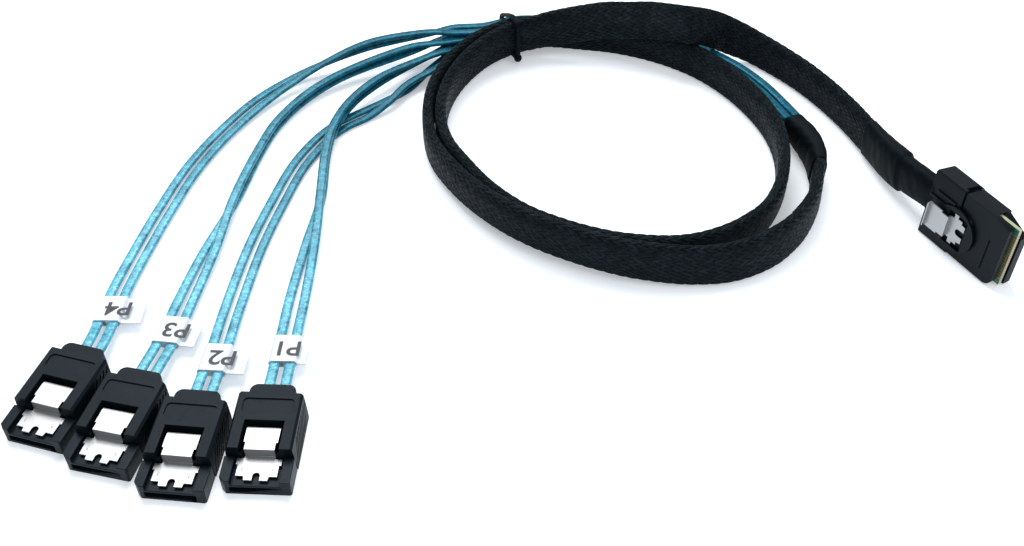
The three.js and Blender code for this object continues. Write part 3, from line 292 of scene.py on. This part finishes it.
class Net:
    """Wraps a shader socket, so that node maths reads as maths."""

    def __init__(self, tree, socket):
        self.tree = tree
        self.socket = socket

    def node(self, kind, out=0, ins=None, **settings):
        made = self.tree.nodes.new(kind)
        for key, value in settings.items():
            setattr(made, key, value)
        for key, value in (ins or {}).items():
            target = made.inputs[key]
            if isinstance(value, Net):
                self.tree.links.new(value.socket, target)
            else:
                target.default_value = value
        return Net(self.tree, made.outputs[out])

    def math(self, operation, *values):
        return self.node("ShaderNodeMath", ins=dict(enumerate(values)), operation=operation)

    def __add__(self, other):
        return self.math("ADD", self, other)

    def __radd__(self, other):
        return self.math("ADD", other, self)

    def __sub__(self, other):
        return self.math("SUBTRACT", self, other)

    def __rsub__(self, other):
        return self.math("SUBTRACT", other, self)

    def __mul__(self, other):
        return self.math("MULTIPLY", self, other)

    def __rmul__(self, other):
        return self.math("MULTIPLY", other, self)

    def __truediv__(self, other):
        return self.math("DIVIDE", self, other)

    def __rtruediv__(self, other):
        return self.math("DIVIDE", other, self)

    def __pow__(self, other):
        return self.math("POWER", self, other)

    def ramp(self, low, high, start=0.0, end=1.0):
        """Straight line from low at start to high at end, held beyond them."""
        return self.node("ShaderNodeMapRange", ins={0: self, 1: low, 2: high, 3: start, 4: end})

    def blend(self, first, second):
        """Colour between first and second, with this value as the share of second."""
        return self.node("ShaderNodeMix", out=2, ins={0: self, 6: first, 7: second}, data_type="RGBA")

    def noise(self, scale, detail=3.0, roughness=0.5):
        return self.node("ShaderNodeTexNoise", ins={
            "Vector": self, "Scale": scale, "Detail": detail, "Roughness": roughness})

    def part(self, axis):
        return self.node("ShaderNodeSeparateXYZ", out=axis, ins={0: self})

    def scaled(self, x, y, z):
        return self.node("ShaderNodeMapping", ins={"Vector": self, "Scale": (x, y, z)})


def rgb(red, green, blue):
    return (red, green, blue, 1.0)


def material(name, build):
    """New material: build(place, run) gives the Principled inputs, as values or nets, with Bump a tuple."""
    made = bpy.data.materials.new(name)
    made.use_nodes = True
    tree = made.node_tree
    shader = tree.nodes["Principled BSDF"]
    start = Net(tree, None)
    place = start.node("ShaderNodeTexCoord", out="Object")
    run = start.node("ShaderNodeUVMap", uv_map="run")
    for key, value in build(place, run).items():
        if key == "Bump":
            height, strength, depth = value
            value = start.node("ShaderNodeBump", ins={"Height": height, "Strength": strength, "Distance": depth})
            key = "Normal"
        if isinstance(value, Net):
            tree.links.new(value.socket, shader.inputs[key])
        else:
            shader.inputs[key].default_value = value
    return made


def plastic(dark, light, grain, rough, grain_depth=0.00004):
    def build(place, run):
        cloud = place.noise(90, 4, 0.6)
        fine = place.noise(grain, 2, 0.5)
        scuff = place.scaled(1, 1, 3).noise(700, 5, 0.7).ramp(0.56, 0.72)
        return {
            "Base Color": (cloud * 0.7 + scuff * 0.3).blend(dark, light),
            "Roughness": (cloud * 0.12 + fine * 0.1 + scuff * 0.12 + (rough - 0.12)),
            "Specular IOR Level": 0.13,
            "Specular Tint": rgb(0.7, 0.86, 1),
            "Bump": (fine * 0.7 + cloud * 0.3, 0.35, grain_depth),
        }
    return build


housing_look = material("housing plastic", plastic(
    rgb(0.002, 0.004, 0.006), rgb(0.006, 0.0105, 0.0145), 2400, 0.4))
overmould_look = material("overmould", plastic(
    rgb(0.0015, 0.003, 0.0045), rgb(0.0045, 0.008, 0.011), 3600, 0.46, 0.00006))
cover_look = material("cover plastic", plastic(
    rgb(0.0015, 0.0025, 0.0035), rgb(0.005, 0.0075, 0.01), 3000, 0.46))


def steel(tone, rough):
    def build(place, run):
        brushed = place.scaled(1, 14, 1).noise(1500, 4, 0.7)
        smear = place.noise(260, 3, 0.6)
        dull = rgb(tone * 0.86, tone * 0.88, tone * 0.9)
        return {
            "Base Color": (smear * 0.6 + brushed * 0.4).blend(dull, rgb(tone, tone, tone)),
            "Metallic": 1.0,
            "Roughness": brushed * 0.16 + smear * 0.12 + rough,
            "Bump": (brushed, 0.2, 0.00002),
        }
    return build


steel_look = material("latch steel", steel(0.4, 0.28))


def gold_build(place, run):
    wear = place.noise(1400, 3, 0.6)
    return {
        "Base Color": wear.blend(rgb(0.72, 0.5, 0.2), rgb(0.9, 0.68, 0.34)),
        "Metallic": 1.0,
        "Roughness": wear * 0.2 + 0.2,
    }


gold_look = material("contact gold", gold_build)

# The card's own axes: forward towards its edge fingers, and up
SAS_CORNER = Vector((95.9, 39.3, 0)) + CENTRING
SAS_TURN = math.radians(-60)
CARD_FRONT = 24.2
CARD_BOTTOM = 0.9
CARD_TOP = 18.4
FINGER_PITCH = 0.8
FINGER_LENGTH = 4
FINGER_SETBACK = 0.5
FINGER_HALF_SHARE = 0.31  # half of a finger's width, as a share of the pitch
FINGER_MARGIN = 1.4
FADE = 0.1
CARD_NEAR_FACE = (2.55, 2.62)
CARD_FAR_FACE = (3.38, 3.45)


def card_build(place, run):
    x = place.part("X") / MM - SAS_CORNER.x
    y = place.part("Y") / MM - SAS_CORNER.y
    height = place.part("Z") / MM
    forward = x * math.cos(SAS_TURN) + y * math.sin(SAS_TURN)
    through = y * math.cos(SAS_TURN) - x * math.sin(SAS_TURN)
    middle = (CARD_BOTTOM + CARD_TOP) / 2
    place_in_pitch = height.math("FRACT", (height - middle) / FINGER_PITCH)
    stripe = place_in_pitch.math("COMPARE", place_in_pitch, 0.5, FINGER_HALF_SHARE)
    finger_end = CARD_FRONT - FINGER_SETBACK - FINGER_LENGTH
    zone = forward.ramp(finger_end - FADE / 2, finger_end + FADE / 2)
    lowest = CARD_BOTTOM + FINGER_MARGIN
    highest = CARD_TOP - FINGER_MARGIN
    inside = height.ramp(lowest, lowest + FADE) * height.ramp(highest - FADE, highest, 1.0, 0.0)
    gold_share = stripe * zone * inside
    edge = through.ramp(*CARD_NEAR_FACE, 1.0, 0.0) + through.ramp(*CARD_FAR_FACE)
    cloud = place.noise(500, 3, 0.5)
    mask = cloud.blend(rgb(0.012, 0.1, 0.065), rgb(0.025, 0.17, 0.11))
    core = cloud.blend(rgb(0.36, 0.34, 0.2), rgb(0.5, 0.47, 0.3))
    board = edge.ramp(0.2, 0.6).blend(core, mask)
    return {
        "Base Color": gold_share.blend(board, rgb(0.3, 0.2, 0.09)),
        "Metallic": gold_share * 0.6,
        "Roughness": cloud * 0.15 + 0.28,
    }


card_look = material("card", card_build)


def shrink_build(place, run):
    wave = place.noise(160, 3, 0.5)
    fine = place.noise(1800, 3, 0.6)
    shade = wave * 0.6 + fine * 0.4
    return {
        "Base Color": shade.blend(rgb(0.0006, 0.0012, 0.0018), rgb(0.002, 0.0032, 0.0042)),
        "Specular IOR Level": 0.1,
        "Specular Tint": rgb(0.6, 0.82, 1),
        "Roughness": wave * 0.2 + fine * 0.1 + 0.48,
        "Bump": (wave * 0.8 + fine * 0.2, 0.4, 0.0003),
    }


shrink_look = material("shrunk tube", shrink_build)

# Braid: threads cross at a slant, a bundle of filaments in each
THREAD_SPACING = 1.0 * MM
THREAD_RUN = 0.36
THREAD_CLIMB = 0.95
FILAMENTS = 3
TWILL_REPEAT = 4
TWILL_OVER = 2
ROW_OFFSET = 4000  # a whole number of repeats, so that no row is counted below zero


def ridge(value):
    """1 in the middle of each whole step of value, and 0 at the step's ends."""
    return 1 - (value.math("FRACT", value) * 2 - 1) ** 2


def thread_height(value):
    return ridge(value) * 0.6 + ridge(value * FILAMENTS) * 0.4


def braid_build(place, run):
    along = run.part("X")
    around = run.part("Y")
    first = (along * THREAD_RUN + around * THREAD_CLIMB) / THREAD_SPACING
    second = (along * THREAD_RUN - around * THREAD_CLIMB) / THREAD_SPACING
    row = first.math("FLOOR", first) - second.math("FLOOR", second) + ROW_OFFSET
    over = row.math("LESS_THAN", row.math("MODULO", row, TWILL_REPEAT), TWILL_OVER)
    height = over * thread_height(first) + (1 - over) * thread_height(second)
    hole = (1 - ridge(first)) * (1 - ridge(second))
    pale = place.noise(420, 3, 0.6).ramp(0.45, 0.7)
    # Painted highlight and painted shade: from the thread height, the tops of the threads are painted lighter and
    # the gaps between threads near black. pale gives some threads a lighter tone of their own.
    shade = height ** 2 * (pale * 0.6 + 0.4)
    return {
        "Base Color": shade.blend(rgb(0.0004, 0.0008, 0.0012), rgb(0.024, 0.036, 0.043)),
        "Roughness": height * -0.2 + 0.56 + hole * 0.15,
        "Specular IOR Level": 0.08,
        "Specular Tint": rgb(0.6, 0.85, 1),
        "Bump": (height, 0.9, 0.0005),
    }


braid_look = material("braid", braid_build)


def lead_build(place, run):
    crinkle = run.scaled(1, 0.6, 1).noise(900, 4, 0.65)
    patch = place.noise(330, 3, 0.6)
    glint = run.scaled(1, 0.35, 1).noise(2600, 3, 0.7)
    deep = (crinkle * 0.6 + patch * 0.4).ramp(0.36, 0.62)
    paler = run.part("X").ramp(0.15, 0.24)
    dark = paler.blend(rgb(0.0, 0.03, 0.055), rgb(0.008, 0.14, 0.22))
    bright = paler.blend(rgb(0.0, 0.12, 0.19), rgb(0.13, 0.5, 0.64))
    body = deep.blend(dark, bright)
    # Painted highlight: glint spots on the lighter mottle are painted pale cyan into the jacket's colour. The
    # glint noise also feeds the bump.
    painted_highlight = glint.ramp(0.55, 0.75) * deep
    return {
        "Base Color": (painted_highlight * (paler * 0.9 + 0.1)).blend(body, rgb(0.5, 0.82, 0.9)),
        "Metallic": deep * 0.1,
        "Specular IOR Level": 0.25,
        "Specular Tint": rgb(0.35, 0.85, 1),
        "Roughness": crinkle * 0.22 + 0.14,
        "Coat Weight": paler * 0.3 + 0.04,
        "Coat Roughness": 0.12,
        "Bump": (crinkle * 0.6 + glint * 0.4, 0.55, 0.00025),
    }


lead_look = material("lead jacket", lead_build)


def label_build(place, run):
    paper = place.noise(1500, 4, 0.6)
    return {
        "Base Color": paper.blend(rgb(0.6, 0.66, 0.72), rgb(0.74, 0.79, 0.84)),
        "Roughness": paper * 0.15 + 0.45,
        "Bump": (paper, 0.2, 0.00005),
    }


label_look = material("label film", label_build)


def print_build(place, run):
    worn = place.noise(2500, 3, 0.6)
    return {
        "Base Color": worn.blend(rgb(0.02, 0.02, 0.03), rgb(0.05, 0.05, 0.06)),
        "Roughness": worn * 0.2 + 0.5,
    }


print_look = material("print", print_build)


def dress(piece, look, slot, body, *replaced):
    piece.data.materials.clear()
    piece.data.materials.append(look)
    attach(piece, body)
    if replaced:
        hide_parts(*replaced)
    return piece


# Boots, made before the cords that they belong to
BOOT_SIZES = [(0, 9.2, 4.8), (0.38, 9.9, 4.6), (0.43, 11.2, 5.7), (0.47, 11.3, 5.6), (1, 10.9, 4.2)]
BOOT_AROUND = 48
BREAKOUT_SIZES = [(0, 10.2, 4.1), (0.25, 9.9, 5.0), (0.6, 9.1, 5.9), (1, 7.6, 5.9)]


def between(table, share):
    """The sizes that the table gives at share, eased from row to row."""
    for (a, *low), (b, *high) in zip(table, table[1:]):
        if share <= b:
            part = (share - a) / (b - a)
            part = part * part * (3 - 2 * part)
            return [x + (y - x) * part for x, y in zip(low, high)]
    return table[-1][1:]


def boot_section(share):
    up, across = between(BOOT_SIZES, share)
    ring = oval(up, across, 0.72, BOOT_AROUND)
    ripple = 0.06 * math.sin(share * 37) + 0.05 * math.sin(share * 61 + 1)
    return [(u + ripple * math.sin(i * 0.4), a + ripple * math.cos(i * 0.7)) for i, (u, a) in enumerate(ring)]


def breakout_section(share):
    up, across = between(BREAKOUT_SIZES, share)
    pinch = 0.25 * math.exp(-((share - 0.3) / 0.03) ** 2) + 0.2 * math.exp(-((share - 0.62) / 0.03) ** 2)
    ring = oval(up, across - pinch, 0.75, BOOT_AROUND)
    return [(u, a + 0.05 * math.sin(i * 0.9 + share * 30)) for i, (u, a) in enumerate(ring)]


def boot(name, route, section, steps):
    line, _ = spaced(smooth(route), steps)
    return dress(tube(name, line, section), shrink_look, "shrink_tube", "root", name)


boot_piece = boot("sas_boot", BOOT_ROUTE, boot_section, 90)
boot_piece.name = "plug_boot"
breakout_piece = boot("breakout_boot", BREAKOUT_ROUTE, breakout_section, 60)
breakout_piece.name = "split_boot"

# Tie
TIE_PLACE = Vector((-6.5, 116.5, 0))
TIE_TURN = math.radians(110.4)
TIE_CORNERS = [(-6.9, 2.2), (-2.8, 1.0), (6.7, 1.0), (6.7, 8.6), (1.2, 11.9), (-2.6, 13.8), (-6.9, 13.8)]
TIE_ROUNDING = 1.2
TIE_CORD = 1.2
TIE_KNOT = (-6.9, 2.3)
TIE_STEPS = 120
TIE_AROUND = 12
TIE_CORNER_STEPS = 6
TIE_WIDENING = 1.25
KNOT_RADIUS = 1.15


def tie_points():
    """Rounded outline of the tie's middle line, as the place across the bundle and the height."""
    out = []
    corners = [Vector(corner) for corner in TIE_CORNERS]
    for i, corner in enumerate(corners):
        start = corner + (corners[i - 1] - corner).normalized() * TIE_ROUNDING
        end = corner + (corners[(i + 1) % len(corners)] - corner).normalized() * TIE_ROUNDING
        for step in range(TIE_CORNER_STEPS + 1):
            t = step / TIE_CORNER_STEPS
            out.append(start * (1 - t) ** 2 + corner * 2 * t * (1 - t) + end * t * t)
    return out


def make_tie():
    across = Vector((math.cos(TIE_TURN), math.sin(TIE_TURN), 0))
    along = across.cross(UP)
    ring = [TIE_PLACE + across * x + UP * z for x, z in tie_points()]
    ring.append(ring[0])
    line, _ = spaced(ring, TIE_STEPS)
    bm = bmesh.new()
    loops = []
    last = len(line) - 1
    for k in range(last):
        way = (line[(k + 1) % last] - line[(k - 1) % last]).normalized()
        out = way.cross(along).normalized()
        grow = 1 + 0.05 * math.sin(k * 1.9)
        loop = []
        for i in range(TIE_AROUND):
            angle = 2 * math.pi * i / TIE_AROUND
            thick = math.cos(angle) * TIE_CORD / 2
            wide = math.sin(angle) * TIE_CORD / 2 * TIE_WIDENING * grow
            point = line[k] + out * thick + along * wide
            loop.append(bm.verts.new((point + CENTRING) * MM))
        loops.append(loop)
    for k in range(last):
        here, there = loops[k], loops[(k + 1) % last]
        for i in range(TIE_AROUND):
            j = (i + 1) % TIE_AROUND
            bm.faces.new((here[i], here[j], there[j], there[i]))
    knot = TIE_PLACE + across * TIE_KNOT[0] + UP * TIE_KNOT[1]
    made = bmesh.ops.create_icosphere(bm, subdivisions=3, radius=KNOT_RADIUS * MM)
    for vert in made["verts"]:
        shape = Vector((vert.co.x, vert.co.y * 1.05, vert.co.z * 1.1))
        vert.co = shape + (knot + CENTRING) * MM
    bmesh.ops.recalc_face_normals(bm, faces=bm.faces)
    mesh = bpy.data.meshes.new("tie_cord")
    bm.to_mesh(mesh)
    bm.free()
    mesh.uv_layers.new(name="run")
    for face in mesh.polygons:
        face.use_smooth = True
    return new_object("tie_cord", mesh)


tie_piece = dress(make_tie(), shrink_look, "tie_band", "root", "bundle_tie")

# Sleeve
SLEEVE_STEPS = 1440
SLEEVE_AROUND = 64
SLEEVE_UP = 10.2
SLEEVE_ACROSS = 3.0
THREAD = THREAD_SPACING / MM
WEAVE_DEPTH = 0.26


def weave(along, around):
    """Height of the threads, from 0 to 1, by the same rule as the look."""
    first = (along * THREAD_RUN + around * THREAD_CLIMB) / THREAD
    second = (along * THREAD_RUN - around * THREAD_CLIMB) / THREAD
    over = (math.floor(first) - math.floor(second)) % TWILL_REPEAT < TWILL_OVER
    value = first if over else second
    return 1 - (2 * (value - math.floor(value)) - 1) ** 2


sleeve_points = BOOT_ROUTE[-2:-1] + SLEEVE_ROUTE
sleeve_curve = smooth(sleeve_points)
sleeve_line, sleeve_length = spaced(sleeve_curve, SLEEVE_STEPS)


def sleeve_section(share):
    along = share * sleeve_length
    swell = 0.05 * math.sin(along * 0.21) + 0.04 * math.sin(along * 0.083 + 2)
    ring = oval(SLEEVE_UP - 0.1 + swell, SLEEVE_ACROSS - swell, 0.62, SLEEVE_AROUND)
    out, walk = [], 0.0
    for i, (up, across) in enumerate(ring):
        if i:
            walk += math.dist(ring[i - 1], ring[i])
        push = (weave(along, walk) - 0.5) * WEAVE_DEPTH
        size = math.hypot(up, across)
        out.append((up + push * up / size, across + push * (1 if across > 0 else -1) * 0.9))
    return out


sleeve = tube("woven_sleeve", sleeve_line, sleeve_section, lean_along(sleeve_points, sleeve_curve))
dress(sleeve, braid_look, "braid", "root", "braided_sleeve")


def shifted(line):
    return [tuple((p + CENTRING) * MM) for p in line]


sleeve_length * MM
shifted(sleeve_line[::6] + sleeve_line[-1:])

# Leads
LEAD_STEPS = 400
LABEL_SIDE_ROOM = 0.25
LABEL_TOP_ROOM = 0.3
LABEL_ROWS = 8
FILM_OUTER_RISE = 1.12
FILM_INNER_WIDTH = 0.96
FILM_INNER_RISE = 0.9
NUMBER_SIZE = 6.4
NUMBER_BOLDNESS = 0.11
NUMBER_THICKNESS = 0.012


def lead_section(share):
    ring = []
    for up, across in oval(LEAD_THICKNESS, LEAD_WIDTH, 0.75, 20):
        waist = 1 - 0.12 * math.exp(-(across / 0.35) ** 2)
        ring.append((up * waist, across))
    return ring


def make_label(port, line):
    """Film folded round the pair and pressed into a flag, with its port number."""
    start, total = spaced(line, LEAD_STEPS)
    at = round(LEAD_STEPS * (1 - (port["label"] + LABEL_BEHIND_ROUTE_END) / total))
    point = start[at]
    along = (start[at + 4] - start[at - 4]).normalized() * -1
    across = Vector((along.y, -along.x, 0)).normalized()
    up = across.cross(along)
    inner = (PLUG_SPACING + LEAD_WIDTH) / 2 + LABEL_SIDE_ROOM
    rise = LEAD_THICKNESS / 2 + LABEL_TOP_ROOM
    profile = []
    for angle in range(90, 271, 15):
        a = math.radians(angle)
        profile.append((-inner + rise + math.cos(a) * rise, math.sin(a) * rise))
    profile += [(0, -rise), (inner - 0.4, -rise), (inner + 0.2, -0.2), (inner + 0.8, -0.02)]
    top = [(inner + 0.8, 0.02), (inner + 0.2, 0.2), (inner - 0.4, rise), (0, rise)]
    flag_end = inner + 0.3 + port["flag"]
    flag_edge = [(inner + 0.8, -0.1), (flag_end, -0.12), (flag_end, 0.12), (inner + 0.8, 0.1)]
    outer = profile[:-1] + flag_edge + top[1:]
    bm = bmesh.new()
    steps = LABEL_ROWS
    rows = []
    for k in range(steps + 1):
        y = (k / steps - 0.5) * LABEL_LENGTH
        row = []
        for x, z in outer:
            bend = 0.12 * math.sin(k / steps * math.pi) * max(0, x - inner) / max(1, port["flag"])
            place = point + across * x + along * y + up * (z * FILM_OUTER_RISE + bend)
            row.append(bm.verts.new((place + CENTRING) * MM))
        rows.append(row)
    inside = []
    for k in range(steps + 1):
        y = (k / steps - 0.5) * LABEL_LENGTH
        row = []
        for x, z in profile[:-1] + top[1:]:
            place = point + across * (x * FILM_INNER_WIDTH) + along * y + up * (z * FILM_INNER_RISE)
            row.append(bm.verts.new((place + CENTRING) * MM))
        inside.append(row)
    for grid in (rows, inside):
        size = len(grid[0])
        for k in range(steps):
            for i in range(size):
                j = (i + 1) % size
                bm.faces.new((grid[k][i], grid[k][j], grid[k + 1][j], grid[k + 1][i]))
    for k in (0, steps):
        rims = []
        for ring in (rows[k], inside[k]):
            rims += [bm.edges.get((ring[i], ring[(i + 1) % len(ring)])) for i in range(len(ring))]
        bmesh.ops.bridge_loops(bm, edges=rims)
    bmesh.ops.recalc_face_normals(bm, faces=bm.faces)
    name = "flag_" + port["name"]
    mesh = bpy.data.meshes.new(name)
    bm.to_mesh(mesh)
    bm.free()
    mesh.uv_layers.new(name="run")
    flag = dress(new_object(name, mesh), label_look, "label", "root", "label_" + port["name"])

    font = bpy.data.curves.new("number", "FONT")
    font.body = port["name"]
    font.size = NUMBER_SIZE * MM
    font.offset = NUMBER_BOLDNESS * MM
    font.extrude = NUMBER_THICKNESS * MM
    font.align_x = "CENTER"
    font.align_y = "CENTER"
    words = bpy.data.objects.new("number", font)
    collection.objects.link(words)
    bpy.context.view_layer.update()
    graph = bpy.context.evaluated_depsgraph_get()
    mesh = bpy.data.meshes.new_from_object(words.evaluated_get(graph))
    bpy.data.objects.remove(words)
    basis = Matrix((across * -1, along * -1, up)).transposed().to_4x4()
    middle = across * (port["flag"] / 2 - 0.2) + up * (rise * FILM_OUTER_RISE + 0.02)
    mesh.transform(Matrix.Translation((point + middle + CENTRING) * MM) @ basis)
    mesh.uv_layers.new(name="run")
    number = dress(new_object("number_" + port["name"], mesh), print_look, "label", "root")
    return [flag, number]


for port in PORTS:
    route = port_route(port)
    label_pieces = make_label(port, smooth(route))
    for letter, side in (("a", 1), ("b", -1)):
        line, length = spaced(smooth(beside(route, side)), LEAD_STEPS)
        name = "flat_lead_%s_%s" % (port["name"], letter)
        lead = dress(tube(name, line, lead_section), lead_look, "lead_jacket", "root",
                     "lead_%s_%s" % (port["name"], letter))
        shifted(line[:1])[0]
        length * MM
        shifted(line[::2])


# Plugs: each moulded or bent node again with its edges rounded
MERGE_DISTANCE = 2e-6
FLAT_ANGLE = math.radians(2)
ROUNDED_ANGLE = math.radians(28)
ROUNDING_SEGMENTS = 2
CONTACTS = 7


def rounded(node, name, width, look, slot, body):
    source = nodes[node]
    mesh = source.data.copy()
    mesh.name = name
    bm = bmesh.new()
    bm.from_mesh(mesh)
    bmesh.ops.remove_doubles(bm, verts=bm.verts, dist=MERGE_DISTANCE)
    bmesh.ops.dissolve_limit(bm, angle_limit=FLAT_ANGLE, verts=bm.verts, edges=bm.edges)
    bm.to_mesh(mesh)
    bm.free()
    if mesh.uv_layers.get("run") is None:
        mesh.uv_layers.new(name="run")
    piece = new_object(name, mesh)
    bevel = piece.modifiers.new("edges", "BEVEL")
    bevel.width = width * MM
    bevel.segments = ROUNDING_SEGMENTS
    bevel.limit_method = "ANGLE"
    bevel.angle_limit = ROUNDED_ANGLE
    weighted = piece.modifiers.new("normals", "WEIGHTED_NORMAL")
    weighted.keep_sharp = True
    for face in mesh.polygons:
        face.use_smooth = True
    bpy.context.view_layer.update()
    graph = bpy.context.evaluated_depsgraph_get()
    done = bpy.data.meshes.new_from_object(piece.evaluated_get(graph))
    piece.modifiers.clear()
    piece.data = done
    return dress(piece, look, slot, body, node)


for port in PORTS:
    tag = port["name"]
    rounded("sata_housing_" + tag, "insulator_" + tag, 0.12, housing_look, "plug_plastic", "root")
    rounded("sata_overmould_" + tag, "block_" + tag, 0.16, overmould_look, "overmould", "root")
    rounded("sata_latch_" + tag, "clip_" + tag, 0.05, steel_look, "latch_steel", "latch_" + tag)
    for index in range(1, CONTACTS + 1):
        contact = nodes["contact_%s_%d" % (tag, index)]
        contact.data.materials.clear()
        contact.data.materials.append(gold_look)

rounded("sas_back_cover", "cover", 0.18, cover_look, "plug_plastic", "root")
rounded("sas_front_shell", "nose", 0.12, cover_look, "plug_plastic", "root")
rounded("sas_latch", "cover_clip", 0.05, steel_look, "latch_steel", "latch_sas")
nodes["paddle_card"].data.materials.clear()
nodes["paddle_card"].data.materials.append(card_look)

# Floor, world and lights
FLOOR_SIZE = 3.0
bpy.ops.mesh.primitive_plane_add(size=FLOOR_SIZE, location=(0, 0, 0))
floor = bpy.context.object
floor.name = "table"


def floor_material():
    """Pale table that looks white to the camera and in reflections, without more light on the cable."""
    made = bpy.data.materials.new("table")
    made.use_nodes = True
    tree = made.node_tree
    shader = tree.nodes["Principled BSDF"]
    shader.inputs["Base Color"].default_value = rgb(0.84, 0.895, 0.95)
    shader.inputs["Roughness"].default_value = 0.6
    path = Net(tree, tree.nodes.new("ShaderNodeLightPath").outputs["Is Camera Ray"])
    glossy = Net(tree, path.socket.node.outputs["Is Glossy Ray"])
    through = Net(tree, path.socket.node.outputs["Is Transmission Ray"])
    share = path + glossy + through
    lift = share.ramp(0.0, 1.0, 0.0, 0.3)
    shader.inputs["Emission Color"].default_value = rgb(1, 1, 1)
    tree.links.new(lift.socket, shader.inputs["Emission Strength"])
    return made


floor.data.materials.append(floor_material())

world = bpy.data.worlds.new("room")
scene.world = world
world.use_nodes = True
sky = world.node_tree.nodes["Background"]
sky.inputs["Color"].default_value = rgb(0.9, 0.95, 1.0)
sky.inputs["Strength"].default_value = 0.62


def lamp(name, place, target, size, power):
    data = bpy.data.lights.new(name, "AREA")
    data.size = size
    data.energy = power
    light = bpy.data.objects.new(name, data)
    collection.objects.link(light)
    light.location = place
    light.rotation_euler = (Vector(place) - Vector(target)).to_track_quat("Z", "Y").to_euler()


lamp("key", (-0.12, 0.42, 0.6), (0, 0.05, 0), 0.5, 5.2)
lamp("fill", (0.35, -0.35, 0.5), (0, 0.02, 0), 0.5, 1.6)

scene.view_settings.view_transform = "Standard"
